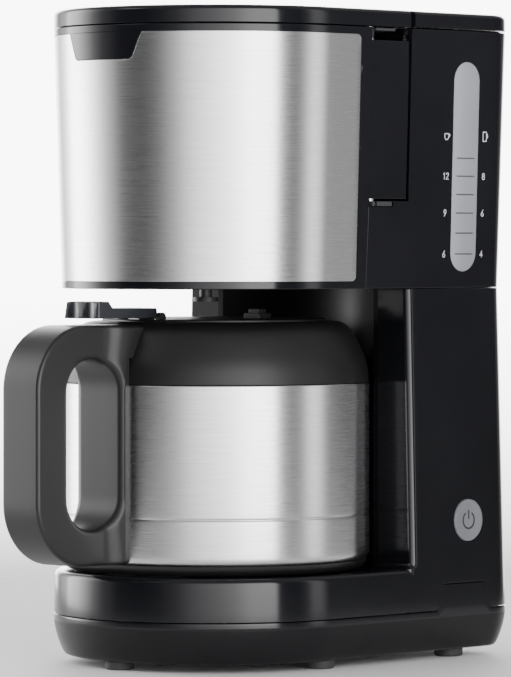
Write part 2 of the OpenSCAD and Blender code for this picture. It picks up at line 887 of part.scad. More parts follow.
base_shell();
lower_housing();
upper_housing();
top_cover();
water_tank();
level_gauge();
gauge_marks();
shower_head();
riser_tube();
inlet_hose();
check_valve();
heater_body();
heating_element();
heater_bracket();
thermostat();
thermal_fuse();
power_switch();
button_guide();
wiring_loom();
cord_gland();
feet();
base_screws();
cover_screws();
door_hinge_pin();
lid_hinge_pins();
door_shell();
steel_panel();
badge_tab();
filter_basket();
drip_valve();
valve_seal();
valve_spring();
tank_lid();
power_button();
button_symbol();
button_spring();
jug_shell();
jug_liner();
jug_base();
jug_collar();
collar_seal();
jug_handle();
handle_screws();
jug_lid();
lid_seal();
lever_pin();
lid_lever();
lever_arm();
pour_valve();
pour_seal();
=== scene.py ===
"""Looks of a compact drip coffee maker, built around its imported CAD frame."""
import functools
import math
import bmesh
import bpy
import numpy as np
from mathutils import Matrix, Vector
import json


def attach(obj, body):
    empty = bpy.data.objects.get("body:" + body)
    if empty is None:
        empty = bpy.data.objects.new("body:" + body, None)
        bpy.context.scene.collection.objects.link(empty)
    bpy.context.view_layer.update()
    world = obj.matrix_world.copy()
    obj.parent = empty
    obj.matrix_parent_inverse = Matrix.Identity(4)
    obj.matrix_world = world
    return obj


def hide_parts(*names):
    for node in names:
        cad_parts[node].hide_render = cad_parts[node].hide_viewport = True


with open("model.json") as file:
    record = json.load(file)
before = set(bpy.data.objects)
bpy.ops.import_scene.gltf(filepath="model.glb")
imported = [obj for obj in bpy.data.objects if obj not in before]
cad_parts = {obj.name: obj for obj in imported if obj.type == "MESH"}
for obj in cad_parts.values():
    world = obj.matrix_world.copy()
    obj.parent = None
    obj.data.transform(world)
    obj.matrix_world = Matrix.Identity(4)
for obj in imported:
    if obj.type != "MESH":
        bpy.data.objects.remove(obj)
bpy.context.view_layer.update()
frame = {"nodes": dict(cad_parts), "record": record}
MM = 0.001

# ---------- driving dimensions, millimetres, the same as the frame's ----------
# the plan: half width, how far the waist is drawn in, rear, rear corners, centre of the round front
HALF, WAIST_IN, REAR, CORNER, JUG_Y = 82.4, 4.2, 142.0, 22.0, -5.0
# heights: crease of the base, waist, underside of the brewing head, top cover, top
SKIRT, WAIST, BREW, COVER, TOP = 22.0, 192.0, 191.8, 325.2, 334.0
# wall, seam gap, deck under the jug, front of the column's cheeks, hollow behind the jug
WALL, GAP, DECK, BAY_Y, BAY_R = 2.5, 0.4, 48.0, 57.0, 82.5
BULKHEAD, CHEEK_Y = 58.8, 27.0                     # fronts of the rear chamber and the left cheek
SEAM_LOW, SEAM_RISE, SEAM_RUN = 25.4, 13.4, 6.4    # seam between base shell and lower housing
SEAM_UP, SEAM_DOWN = 74.8, 117.2                   # where it starts up, and where it is down again
HINGE, PIN_R = (70.0, 37.0), 2.5                   # the filter unit's hinge
WING, WING_GAP, WING_R, WING_BAY_R = 237.6, 1.2, 20.6, 21.4    # its hinged wing, from this height
BLOCK_R, BLOCK_BAY_R = 14.2, 14.6                  # block under the wing, and the room left for it
BUCKET, BUCKET_R = (-6.0, JUG_Y), 58.0             # bucket that the filter basket hangs in
PANEL_LOW, PANEL_HIGH, PANEL_END, PANEL_R = 195.7, 320.8, 18.0, 2.6
LID_AXIS, LID_CUT, COVER_CUT, LUG_X = (58.4, 331.3), 58.4, 55.3, 60
GAUGE_Y, GAUGE_Z, GAUGE_HALF, GAUGE_R = 99.4, 254.5, 44.3, 9.9
BUTTON_Y, BUTTON_Z, BUTTON_R, BUTTON_FACE = 100.5, 71.3, 11.0, 81.8
HANDLE_Y, HANDLE_W, HANDLE_R = -142.0, 26.6, 32
JUG_R, CRADLE_R, VALVE_Y = 79.9, 82.4, -36         # jug, handle's cradle on it, pour valve
FEET = [(0, -73), (-68, 2), (68, 2), (-66, 102), (66, 102)]
FAR = 100                                          # cutting tools reach this far to the sides


def draw_in(z):
    """How far the outline is drawn in at height z: most at the waist."""
    if z > WAIST:
        return WAIST_IN * max(0.0, COVER - z) / (COVER - WAIST)
    return WAIST_IN * max(0.0, z - SKIRT) / (WAIST - SKIRT)


def flank_x(z):
    return HALF - draw_in(z)


def quarter(n):
    """Sine, and one less the cosine, at n even steps over a quarter turn."""
    return [(math.sin(a), 1 - math.cos(a)) for a in (math.pi / 2 * k / n for k in range(n + 1))]


def circle(r, cx=0.0, cy=0.0, n=96):
    """Points of a circle, with no unit of its own."""
    return [(cx + r * math.cos(2 * math.pi * i / n), cy + r * math.sin(2 * math.pi * i / n))
            for i in range(n)]


def arc(cx, cy, rx, ry, a0, a1, n):
    """Points of an ellipse from angle a0 to a1, in degrees."""
    return [(cx + rx * math.cos(a), cy + ry * math.sin(a))
            for a in (math.radians(a0 + (a1 - a0) * k / n) for k in range(n + 1))]


# closer steps where the seam rises
FLANK = sorted(set([float(v) for v in range(0, 120, 5)] + [float(v) for v in range(70, 120)]))


@functools.lru_cache(maxsize=None)
def outline(cut):
    """The D-shaped plan, moved in by cut: half round front, straight flanks, round corners."""
    r = HALF - cut
    front = [(r * math.cos(a), JUG_Y - r * math.sin(a))
             for a in (math.pi * i / 120 for i in range(121))]
    left = [(-r, y) for y in FLANK]
    cx, cy, cr = HALF - CORNER, REAR - CORNER, CORNER - cut
    corner = [(-cx - cr * math.cos(a), cy + cr * math.sin(a))
              for a in (math.pi / 2 * i / 20 for i in range(21))]
    rear = [(x, REAR - cut) for x in (-45, -30, -15, 0)]
    half = left + corner + rear
    return front + half + [(-x, y) for x, y in reversed(half[:-1])]


# ---------- mesh code ----------

def obj_from(verts, faces):
    mesh = bpy.data.meshes.new("tool")
    mesh.from_pydata([(x * MM, y * MM, z * MM) for x, y, z in verts], [], faces)
    bm = bmesh.new()
    bm.from_mesh(mesh)
    bmesh.ops.remove_doubles(bm, verts=bm.verts, dist=1e-7)
    bmesh.ops.recalc_face_normals(bm, faces=bm.faces)
    bm.to_mesh(mesh)
    bm.free()
    obj = bpy.data.objects.new("tool", mesh)
    bpy.context.scene.collection.objects.link(obj)
    return obj


def skin(rings, closed_rows=False):
    """Quads between rings of the same length: capped, or the last ring joined to the first."""
    n = len(rings[0])
    verts = [p for ring in rings for p in ring]
    faces = []
    for r in range(len(rings) if closed_rows else len(rings) - 1):
        a, b = r * n, ((r + 1) % len(rings)) * n
        faces += [(a + i, a + (i + 1) % n, b + (i + 1) % n, b + i) for i in range(n)]
    if not closed_rows:
        faces += [tuple(range(n)), tuple(range((len(rings) - 1) * n, len(rings) * n))]
    return obj_from(verts, faces)


def level_ring(z, cut):
    return [(x, y, z) for x, y in outline(cut)]


def body_loft(z0, z1, cut=0.0, soft0=0.0, soft1=0.0, step=6.0):
    """Solid of the body's outline between two heights, its rims rounded by soft0 and soft1."""
    rows = [(z0 + soft0 * c, soft0 * (1 - s)) for s, c in quarter(3)[:4 if soft0 else 1]]
    lo, hi = z0 + soft0, z1 - soft1
    steps = max(1, round((hi - lo) / step))
    heights = ({z for z in (SKIRT, WAIST) if lo + 0.5 < z < hi - 0.5}
               | {lo + (hi - lo) * i / steps for i in range(1, steps)})
    rows += [(z, 0.0) for z in sorted(heights)]
    rows += [(hi + soft1 * s, soft1 * c) for s, c in quarter(3)[:4 if soft1 else 1]]
    return skin([level_ring(z, draw_in(z) + cut + c) for z, c in rows])


def box(lo, hi):
    (a, b, c), (d, e, f) = lo, hi
    v = [(x, y, z) for x in (a, d) for y in (b, e) for z in (c, f)]
    return obj_from(v, [(0, 1, 3, 2), (4, 6, 7, 5), (0, 4, 5, 1), (2, 3, 7, 6), (0, 2, 6, 4),
                        (1, 5, 7, 3)])


def prism_x(points, x0, x1):
    """Outline in Y and Z, extruded along X."""
    return skin([[(x, y, z) for y, z in points] for x in (x0, x1)])


def prism_y(points, y0, y1):
    return skin([[(x, y, z) for x, z in points] for y in (y0, y1)])


def prism_z(points, z0, z1):
    return skin([[(x, y, z) for x, y in points] for z in (z0, z1)])


def drum(r, cx, cy, z0, z1, n=96):
    return prism_z(circle(r, cx, cy, n), z0, z1)


def turned(profile, cx=0.0, cy=JUG_Y, n=192):
    """Closed outline of (radius, height) turned about a vertical axis."""
    rings = [[(x, y, z) for x, y in circle(r, cx, cy, n)] for r, z in profile]
    return skin(rings, closed_rows=True)


def turned_x(profile, y, z):
    """Closed outline of (radius, x) turned about an axis along X."""
    return skin([[(x, *p) for p in circle(r, y, z)] for r, x in profile], closed_rows=True)


def fillet(points, radii, n=5):
    """Closed outline with each corner rounded; one radius for all or one per corner."""
    out = []
    for i, p in enumerate(points):
        r = radii if isinstance(radii, (int, float)) else radii[i]
        a, b, c = Vector(points[i - 1]), Vector(p), Vector(points[(i + 1) % len(points)])
        u, v = a - b, c - b
        if r <= 0 or u.length < 1e-6 or v.length < 1e-6:
            out.append(tuple(b))
            continue
        lu, lv = u.length, v.length
        u.normalize()
        v.normalize()
        half = math.acos(max(-1, min(1, u.dot(v)))) / 2
        if half > math.pi / 2 - 0.02:
            out.append(tuple(b))
            continue
        d = min(r / math.tan(half), 0.49 * lu, 0.49 * lv)
        r = d * math.tan(half)
        centre = b + (u + v).normalized() * (r / math.sin(half))
        s, e = b + u * d - centre, b + v * d - centre
        turn = math.atan2(s.x * e.y - s.y * e.x, s.dot(e))
        base = math.atan2(s.y, s.x)
        out += [(centre.x + r * math.cos(base + turn * k / n),
                 centre.y + r * math.sin(base + turn * k / n)) for k in range(n + 1)]
    return out


def applied(obj):
    """Applies the object's modifiers."""
    dg = bpy.context.evaluated_depsgraph_get()
    mesh = bpy.data.meshes.new_from_object(obj.evaluated_get(dg), preserve_all_data_layers=True,
                                           depsgraph=dg)
    obj.modifiers.clear()
    old = obj.data
    obj.data = mesh
    bpy.data.meshes.remove(old)
    return obj


def boolean(obj, how, *tools):
    for t in tools:
        m = obj.modifiers.new("cut", "BOOLEAN")
        m.operation, m.solver, m.object = how, "EXACT", t
        applied(obj)
        bpy.data.objects.remove(t)
    return obj


def cut(obj, *tools):
    return boolean(obj, "DIFFERENCE", *tools)


def keep(obj, *tools):
    return boolean(obj, "INTERSECT", *tools)


def fuse(obj, *tools):
    return boolean(obj, "UNION", *tools)


def merged(obj, *others):
    """One object of several closed meshes."""
    bm = bmesh.new()
    for o in (obj,) + others:
        bm.from_mesh(o.data)
    bm.to_mesh(obj.data)
    bm.free()
    for o in others:
        bpy.data.objects.remove(o)
    return obj


def soften(obj, width=0.35, segments=2, angle=50):
    """Small rounded edges where two faces meet sharply."""
    m = obj.modifiers.new("edge", "BEVEL")
    m.width, m.segments = width * MM, segments
    m.limit_method, m.angle_limit = "ANGLE", math.radians(angle)
    m.use_clamp_overlap = True
    m.miter_outer = "MITER_SHARP"
    return applied(obj)


def piece(obj, name, material, body, slot, *replaced, sharp=32):
    """Finishes an object as a named piece that rides on a body and replaces CAD nodes."""
    obj.name = obj.data.name = name
    obj.data.materials.clear()
    obj.data.materials.append(material)
    obj.data.shade_smooth()
    obj.data.set_sharp_from_angle(angle=math.radians(sharp))
    m = obj.modifiers.new("normals", "WEIGHTED_NORMAL")
    m.keep_sharp, m.weight = True, 60
    applied(obj)
    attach(obj, body)
    if replaced:
        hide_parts(*replaced)
    return obj


def second_look(obj, material, chosen):
    """Gives the faces whose centre, in millimetres, is chosen a second material."""
    obj.data.materials.append(material)
    for poly in obj.data.polygons:
        if chosen(*(poly.center / MM)):
            poly.material_index = 1


def wrap_uv(obj, radius=HALF):
    """UV along the direction of the brushing: u runs round the body, v upwards, in metres."""
    uv = obj.data.uv_layers.new(name="brush")
    r = radius * MM
    for poly in obj.data.polygons:
        us = []
        for li in poly.loop_indices:
            c = obj.data.vertices[obj.data.loops[li].vertex_index].co
            y = c.y - JUG_Y * MM
            if radius == HALF and y > 0:
                u = (math.pi / 2 * r + y) * (1 if c.x > 0 else -1)
            else:
                u = math.atan2(c.x, -y) * r
            us.append((li, u, c.z))
        if max(u for _, u, _ in us) - min(u for _, u, _ in us) > 2 * r:
            us = [(li, u + 2 * math.pi * r if u < 0 else u, z) for li, u, z in us]
        for li, u, z in us:
            uv.data[li].uv = (u, z)


# ---------- materials ----------

def new_material(name):
    mat = bpy.data.materials.new(name)
    mat.use_nodes = True
    tree = mat.node_tree
    return mat, tree, tree.nodes["Principled BSDF"]


def noise_node(tree, vector, scale, detail=3.0, rough=0.55):
    n = tree.nodes.new("ShaderNodeTexNoise")
    n.inputs["Scale"].default_value = scale
    n.inputs["Detail"].default_value = detail
    n.inputs["Roughness"].default_value = rough
    tree.links.new(vector, n.inputs["Vector"])
    return n.outputs["Fac"]


def mapped(tree, value, lo, hi, from_lo=0.3, from_hi=0.7):
    n = tree.nodes.new("ShaderNodeMapRange")
    for k, v in zip(("From Min", "From Max", "To Min", "To Max"), (from_lo, from_hi, lo, hi)):
        n.inputs[k].default_value = v
    tree.links.new(value, n.inputs["Value"])
    return n.outputs["Result"]


def math_node(tree, operation, *values):
    n = tree.nodes.new("ShaderNodeMath")
    n.operation = operation
    for socket, value in zip(n.inputs, values):
        if isinstance(value, float):
            socket.default_value = value
        else:
            tree.links.new(value, socket)
    return n.outputs[0]


def mixed(tree, factor, a, b):
    """A colour between a and b, each given as a colour or as another node's output."""
    n = tree.nodes.new("ShaderNodeMix")
    n.data_type = "RGBA"
    tree.links.new(factor, n.inputs["Factor"])
    for key, value in (("A", a), ("B", b)):
        if isinstance(value, tuple):
            n.inputs[key].default_value = (*value, 1)
        else:
            tree.links.new(value, n.inputs[key])
    return n.outputs["Result"]


def bumped(tree, shader, height, strength, distance):
    n = tree.nodes.new("ShaderNodeBump")
    n.inputs["Strength"].default_value = strength
    n.inputs["Distance"].default_value = distance
    tree.links.new(height, n.inputs["Height"])
    tree.links.new(n.outputs["Normal"], shader.inputs["Normal"])


def plastic(name, dark, light, rough, grain, bump=0.1, depth=0.00005, spec=0.5):
    """Moulded plastic: slow cloudiness, a fine surface grain, roughness that varies with both."""
    mat, tree, sh = new_material(name)
    co = tree.nodes.new("ShaderNodeTexCoord").outputs["Object"]
    slow = noise_node(tree, co, 15.0, 4)
    fine = noise_node(tree, co, grain, 2)
    tree.links.new(mixed(tree, mapped(tree, slow, 0, 1), dark, light), sh.inputs["Base Color"])
    both = math_node(tree, "MULTIPLY_ADD", fine, 0.35, slow)
    tree.links.new(mapped(tree, both, *rough, 0.4, 0.95), sh.inputs["Roughness"])
    sh.inputs["Specular IOR Level"].default_value = spec
    bumped(tree, sh, fine, bump, depth)
    return mat


def stretched(tree, coords, scale):
    n = tree.nodes.new("ShaderNodeMapping")
    n.inputs["Scale"].default_value = scale
    tree.links.new(coords, n.inputs["Vector"])
    return n.outputs["Vector"]


def brushed(name, dark, light, rough, lines=5200.0, along=26.0, uv=True, bump=0.25):
    """Brushed steel: fine lines that run along u, with the gloss stretched across them."""
    mat, tree, sh = new_material(name)
    co = tree.nodes.new("ShaderNodeTexCoord").outputs["UV" if uv else "Object"]
    broad_lines, broad_along = 900.0, 14.0
    fine = stretched(tree, co, (along, lines, 1.0) if uv else (along, along, lines))
    broad = stretched(tree, co, (broad_along, broad_lines, 1.0) if uv
                      else (broad_along, broad_along, broad_lines))
    fine = noise_node(tree, fine, 1.0, 3, 0.7)
    broad = noise_node(tree, broad, 1.0, 2, 0.5)
    fac = mapped(tree, math_node(tree, "MULTIPLY_ADD", broad, 0.3, fine), 0, 1, 0.4, 0.9)
    tree.links.new(mixed(tree, fac, dark, light), sh.inputs["Base Color"])
    tree.links.new(mapped(tree, fac, rough[1], rough[0], 0, 1), sh.inputs["Roughness"])
    sh.inputs["Metallic"].default_value = 1.0
    if uv:
        sh.inputs["Anisotropic"].default_value = 0.75
        sh.inputs["Anisotropic Rotation"].default_value = 0.25
        tangent = tree.nodes.new("ShaderNodeTangent")
        tangent.direction_type = "UV_MAP"
        tangent.uv_map = "brush"
        tree.links.new(tangent.outputs["Tangent"], sh.inputs["Tangent"])
    bumped(tree, sh, fine, bump, 0.00002)
    return mat


gloss = plastic("gloss_black_plastic", (0.0040, 0.0041, 0.0056), (0.0060, 0.0061, 0.0080),
                (0.09, 0.15), 5200, 0.03, 0.00002, spec=0.35)
base_mat = plastic("base_plastic", (0.0040, 0.0040, 0.0050), (0.0060, 0.0060, 0.0070),
                   (0.24, 0.32), 5200, 0.12, 0.00003, spec=0.25)
# darker, duller plastic for the hollow behind the jug: painted shade under the brewing head
hollow_shade_mat = plastic("hollow_painted_shade", (0.0030, 0.0030, 0.0036), (0.0045, 0.0045, 0.0053),
                  (0.30, 0.38), 5200, 0.15, 0.00003, spec=0.08)
satin = plastic("satin_black_plastic", (0.0058, 0.0057, 0.0065), (0.0080, 0.0079, 0.0088),
                (0.36, 0.43), 5200, 0.25, spec=0.45)
collar_mat = plastic("collar_plastic", (0.0034, 0.0034, 0.0040), (0.0048, 0.0048, 0.0056),
                     (0.40, 0.47), 5200, 0.22, spec=0.35)
lever_mat = plastic("lever_plastic", (0.009, 0.0105, 0.014), (0.014, 0.016, 0.0205),
                    (0.30, 0.38), 4200, 0.15)
inner_mat = plastic("inner_plastic", (0.020, 0.020, 0.022), (0.034, 0.034, 0.036),
                    (0.42, 0.56), 3000, 0.2)
knuckle_mat = plastic("hinge_plastic", (0.026, 0.026, 0.029), (0.040, 0.040, 0.044),
                      (0.42, 0.55), 4200, 0.15, spec=0.3)
tank_mat = plastic("tank_plastic", (0.055, 0.060, 0.066), (0.085, 0.090, 0.098),
                   (0.16, 0.28), 2600, 0.06)
gauge_mat = plastic("gauge_plastic", (0.205, 0.21, 0.232), (0.235, 0.24, 0.262),
                    (0.20, 0.28), 2600, 0.05, spec=0.8)
button_mat = plastic("button_silver", (0.130, 0.134, 0.148), (0.155, 0.160, 0.174),
                     (0.34, 0.42), 5600, 0.12, 0.00003)
ink_mat = plastic("dark_ink", (0.035, 0.035, 0.040), (0.055, 0.055, 0.060), (0.5, 0.6), 5000)
print_mat = plastic("pale_ink", (0.50, 0.50, 0.52), (0.62, 0.62, 0.64), (0.5, 0.6), 5000)
symbol_mat = plastic("black_ink", (0.010, 0.010, 0.012), (0.018, 0.018, 0.020), (0.35, 0.5), 5000)
rubber_mat = plastic("foot_rubber", (0.020, 0.020, 0.021), (0.040, 0.040, 0.041), (0.6, 0.8), 2600,
                     0.3)
hose_mat = plastic("silicone_hose", (0.40, 0.38, 0.34), (0.50, 0.48, 0.43), (0.45, 0.6), 1800, 0.12)
ceramic_mat = plastic("cream_moulding", (0.50, 0.47, 0.39), (0.62, 0.59, 0.50), (0.45, 0.6), 1800,
                      0.12)
steel = brushed("brushed_steel", (0.59, 0.59, 0.60), (0.73, 0.73, 0.735), (0.24, 0.33), bump=0.22)
bright = brushed("bright_steel", (0.50, 0.50, 0.51), (0.64, 0.64, 0.65), (0.22, 0.34), 1800, 60,
                 uv=False)
alu = brushed("heater_aluminium", (0.44, 0.44, 0.45), (0.56, 0.56, 0.57), (0.36, 0.5), 900, 40,
              uv=False)

SLOT_LOOK = {"gloss_black": gloss, "satin_black": satin, "lever_plastic": lever_mat,
             "brushed_steel": bright, "liner_steel": bright, "tank_plastic": tank_mat,
             "gauge_clear": gauge_mat, "print_ink": symbol_mat, "inner_plastic": inner_mat,
             "silicone_hose": hose_mat, "heater_aluminium": alu, "ceramic": ceramic_mat,
             "rubber_foot": rubber_mat, "button_grey": button_mat}
for part in frame["record"]["subparts"]:
    looks = frame["nodes"][part["node"]].data.materials
    looks.clear()
    looks.append(SLOT_LOOK[part["material_slot"]])


# ---------- base shell ----------

def seam(y):
    """Height of the seam between base shell and lower housing: it steps up on the flanks."""
    up = max(0.0, min(1.0, (y - SEAM_UP) / SEAM_RUN))
    down = max(0.0, min(1.0, (SEAM_DOWN - y) / SEAM_RUN))
    t = min(up, down)
    return SEAM_LOW + SEAM_RISE * t * t * t * (t * (6 * t - 15) + 10)


def seam_ring(dz, cut_by):
    """Ring that follows the seam at a distance dz."""
    out = []
    for i, (_, y) in enumerate(outline(0)):
        z = seam(y) + dz
        out.append((*outline(round(draw_in(z) + cut_by, 3))[i], z))
    return out


def between(ring_a, ring_b, t):
    return [tuple(a + (b - a) * t for a, b in zip(p, q)) for p, q in zip(ring_a, ring_b)]


def make_base():
    rows = [level_ring(z, c) for z, c in
            [(4.5, 8.5), (4.55, 6.6), (4.9, 5.7), (6.0, 4.8), (8.0, 3.8), (10.7, 2.75), (13.5, 1.8),
             (16.0, 1.1), (18.5, 0.55), (20.5, 0.2), (SKIRT, 0.0)]]
    low, high = rows[-1], seam_ring(-0.25, 0)
    rows += [between(low, high, t) for t in (0.35, 0.7)] + [high]
    rows += [seam_ring(-0.1, 0.04), seam_ring(-0.03, 0.12), seam_ring(0, 0.25), seam_ring(0, WALL)]
    rows += [level_ring(SKIRT, WALL), level_ring(12.0, 4.9), level_ring(7.0, 8.0)]
    return cut(skin(rows), *[drum(3, x, y, 3, 8, 32) for x, y in FEET])


base = piece(make_base(), "base_cover", base_mat, "root", "gloss_black", "base_shell")
# the strip between the crease and the seam is polished like the plinth above it
second_look(base, gloss, lambda x, y, z: z > SKIRT + 0.05)


# ---------- lower housing: plinth with the deck, and the rear column ----------
DECK_EDGE, DECK_R = 44.6, 3.4                      # where the deck's rounded edge starts
COLUMN_TOP, FOOT_R = 191.6, 3.0


def button_bore():
    return prism_x(circle(BUTTON_R + 0.35, BUTTON_Y, BUTTON_Z), 60, 95)


def make_plinth():
    edge_in = draw_in(DECK_EDGE)
    rows = [seam_ring(GAP, 6.0), seam_ring(GAP, 0.25), seam_ring(GAP + 0.03, 0.12),
            seam_ring(GAP + 0.1, 0.04), seam_ring(GAP + 0.25, 0)]
    top = level_ring(DECK_EDGE, edge_in)
    rows += [between(rows[-1], top, t) for t in (0.3, 0.65)] + [top]
    rows += [level_ring(DECK_EDGE + DECK_R * s, edge_in + DECK_R * c) for s, c in quarter(6)[1:]]
    rows += [level_ring(DECK, edge_in + 5.0), level_ring(DECK, edge_in + 8.0)]
    inner = skin([level_ring(20, WALL + 3), level_ring(DECK - WALL, WALL + 3)])
    plinth = cut(skin(rows), inner, button_bore())
    # shallow warming plate under the jug
    return cut(plinth, turned([(0.01, 47.75), (74.5, 47.75), (75.5, 50), (0.01, 50)]))


def column_ring(z, level, grow=0.0, inset=0.0):
    """Ring round the rear column, at the height level, with its plan at height z: flanks and rear
    of the outline, flat cheeks, and the hollow that nests the jug. grow widens it forwards."""
    r = HALF - draw_in(z) - inset
    front, hollow = BAY_Y - grow + inset, BAY_R - grow + inset
    a0 = math.asin((front - JUG_Y) / hollow)
    x0 = hollow * math.cos(a0)
    right_r, left_r, steps = 3.6, 1.3, 60
    pts = [(hollow * math.cos(a), JUG_Y + hollow * math.sin(a))
           for a in (math.pi - a0 - (math.pi - 2 * a0) * i / steps for i in range(steps + 1))]
    # right cheek, its outer edge rounded
    pts += [(x0 + (r - right_r - x0) * t, front) for t in (0.15, 0.4, 0.7)]
    pts += [(r - right_r + right_r * s, front + right_r * c) for s, c in quarter(8)]
    right = [(r, y) for y in FLANK if y > BAY_Y + right_r + 1]
    cx, cy, cr = HALF - CORNER, REAR - CORNER, r - (HALF - CORNER)
    corner = [(cx + cr * math.cos(b), cy + cr * math.sin(b))
              for b in (math.pi / 2 * i / 20 for i in range(21))]
    half = right + corner + [(x, REAR - HALF + r) for x in (45, 30, 15)]
    pts += half + [(0, REAR - HALF + r)] + [(-x, y) for x, y in reversed(half)]
    # left cheek, with a sharper edge
    pts += [(-(r - left_r + left_r * s), front + left_r * c) for s, c in reversed(quarter(8))]
    pts += [(-(x0 + (r - left_r - x0) * t), front) for t in (0.7, 0.4, 0.15)]
    return [(x, y, level) for x, y in pts]


def make_column():
    rows = [(DECK_EDGE, FOOT_R), (DECK, FOOT_R)]
    rows += [(DECK + FOOT_R * c, FOOT_R * (1 - s)) for s, c in quarter(6)[1:]]
    low = DECK + FOOT_R
    rows += [(low + (COLUMN_TOP - 0.4 - low) * i / 24, 0.0) for i in range(1, 25)]
    rings = [column_ring(z, z, grow) for z, grow in rows]
    rings += [column_ring(COLUMN_TOP, COLUMN_TOP - 0.15, 0, 0.12),
              column_ring(COLUMN_TOP, COLUMN_TOP, 0, 0.4)]
    inner = skin([column_ring(z, z, 0, WALL) for z in (49.0, 120.0, 193.0)])
    return cut(skin(rings), inner, button_bore())


lower = piece(merged(make_plinth(), make_column()), "lower_body", gloss, "root", "gloss_black",
              "lower_housing")
# the hollow behind the jug gets a darker, duller plastic: painted shade under the brewing head
second_look(lower, hollow_shade_mat, lambda x, y, z: (z > DECK + 0.5 and y > 0
                                             and abs(math.hypot(x, y - JUG_Y) - BAY_R) < 3.2))


# ---------- upper housing ----------

def stadium(grow, n=120):
    """Outline of the gauge in Y and Z, moved out by grow."""
    r = GAUGE_R + grow
    return [(GAUGE_Y + r * math.cos(a),
             GAUGE_Z + (GAUGE_HALF if math.sin(a) > 0 else -GAUGE_HALF) + r * math.sin(a))
            for a in (2 * math.pi * (i + 0.5) / n for i in range(n))]


def make_upper():
    up = body_loft(BREW, COVER - 0.4, 0, 0.4, 0.4)
    block_top = WING - WING_GAP
    plan = box((-FAR, BULKHEAD, 180), (FAR, 160, 340))
    fuse(plan, box((-FAR, CHEEK_Y, 180), (-62, 70, 340)), box((74, 56, 180), (FAR, 70, 340)),
         box((56, HINGE[1], 180), (FAR, 61, block_top)),
         keep(drum(BLOCK_R, *HINGE, 180, block_top), box((56, 22, 170), (96, 52, 300))))
    keep(up, plan)
    floor, roof = BREW + WALL, COVER + 3
    chamber = keep(body_loft(BREW - 2, COVER + 4, WALL),
                   box((-FAR, BULKHEAD + WALL, floor), (FAR, 160, roof)))
    cheek = keep(body_loft(BREW - 2, COVER + 4, WALL),
                 box((-FAR, CHEEK_Y + WALL, floor), (-64.5, 63, roof)))
    cut(up, chamber, cheek, drum(WING_BAY_R, *HINGE, block_top, 340),
        drum(PIN_R, *HINGE, 212, 300, 48),
        box((-61, 50, COVER - 2.4), (61, 66, COVER + 5)), box((74.2, 20, 233.4), (90, 44.8, 240)))
    cut(up, prism_x(stadium(0.25, 96), 60, 95),
        *[drum(5.6, x, y, BREW - 2, BREW + 5, 48) for x, y in ((30, 100), (-70, 66))])
    return soften(up, 0.24, 2, 55)


piece(make_upper(), "upper_body", gloss, "root", "gloss_black", "upper_housing")

# plastic bearing plates that show in the openings above and below the hinged wing
bearings = [box((70, 31.8, 323.2), (79.7, 46.0, 324.6)),
            box((72, 27.6, 319.2), (79.4, 30.0, 324.3)),
            box((74, 33.2, 233.8), (78.9, 44.4, 236.2)),
            box((74, 29.6, 233.8), (78.9, 31.6, 236.2))]
for bearing in bearings:
    soften(bearing, 0.25)
piece(merged(*bearings), "hinge_bearings", knuckle_mat, "root", "inner_plastic")


# ---------- top cover and tank lid ----------

def cap(z0, soft=0.3):
    """The whole top: a shallow cap with a rounded shoulder."""
    shoulder, shoulder_r = 331.2, 3.0
    rows = [(z0, soft), (z0 + 0.1, soft * 0.35), (z0 + soft, 0.0), (z0 + 2.2, 0.0), (z0 + 4.2, 0.0),
            (z0 + 5.4, 0.02)]
    rows += [(shoulder + (TOP - shoulder) * s, shoulder_r * c) for s, c in quarter(8)[1:]]
    rows += [(TOP, 7.0), (TOP, 16.0)]
    return skin([level_ring(z, c) for z, c in rows])


def cap_hollow():
    return skin([level_ring(z, WALL) for z in (COVER - 3, TOP - WALL)])


def make_cover():
    hollow = cut(cap_hollow(), box((-FAR, COVER_CUT - WALL, 300), (FAR, 160, 340)))
    cover = cut(cap(COVER), box((-FAR, COVER_CUT, 300), (FAR, 160, 340)), hollow)
    soften(cover, 0.5, 3, 60)
    ear = fillet([(53, 325.6), (60.2, 325.6), (61, 329), (61, 333.9), (53, 333.9)],
                 [0, 0, 0, 2.5, 0])
    lugs = [keep(box((x - 2, 53.5, COVER + 0.4), (x + 2, 61, TOP)), prism_x(ear, x - 3, x + 3))
            for x in (-LUG_X, LUG_X)]
    flange = box((-60, 50.5, COVER - 2.4), (60, 65.6, COVER + 0.2))
    boss = cut(drum(6, *HINGE, COVER + 0.2, COVER + 6, 48),
               drum(PIN_R, *HINGE, COVER, COVER + 4.8, 48))
    return merged(cover, flange, boss, *lugs)


piece(make_cover(), "front_cover", gloss, "root", "gloss_black", "top_cover")


def make_lid():
    hollow = keep(cap_hollow(), box((-FAR, LID_CUT + 5, 300), (FAR, 160, 340)))
    lid = cut(cap(COVER + 0.4), box((-FAR, -FAR, 300), (FAR, LID_CUT, 340)), hollow)
    fuse(lid, prism_x(circle(2.5, *LID_AXIS, 48), 3 - HALF, HALF - 3))
    cut(lid, *[box((x - 2.4, 50, COVER - 1), (x + 2.4, 62, 340)) for x in (-LUG_X, LUG_X)],
        *[drum(5.5, x, 60.05, COVER, COVER + 3.2, 48) for x in (-40, 40)])
    return soften(lid, 0.35, 2, 60)


piece(make_lid(), "water_lid", gloss, "tank_lid", "gloss_black", "tank_lid")


# ---------- filter unit ----------
BADGE = [(-25.5, 320.9), (-20.0, 308.6), (-18.0, 307.4), (18.0, 307.4), (20.0, 308.6),
         (25.5, 320.9)]


def badge_prism(grow):
    """Tool with the badge's outline moved out by grow, except at its top."""
    side = 1.2 * grow
    return prism_y([(x + (side if x > 0 else -side), z - grow if z < 320 else z) for x, z in BADGE],
                   -95, -81)


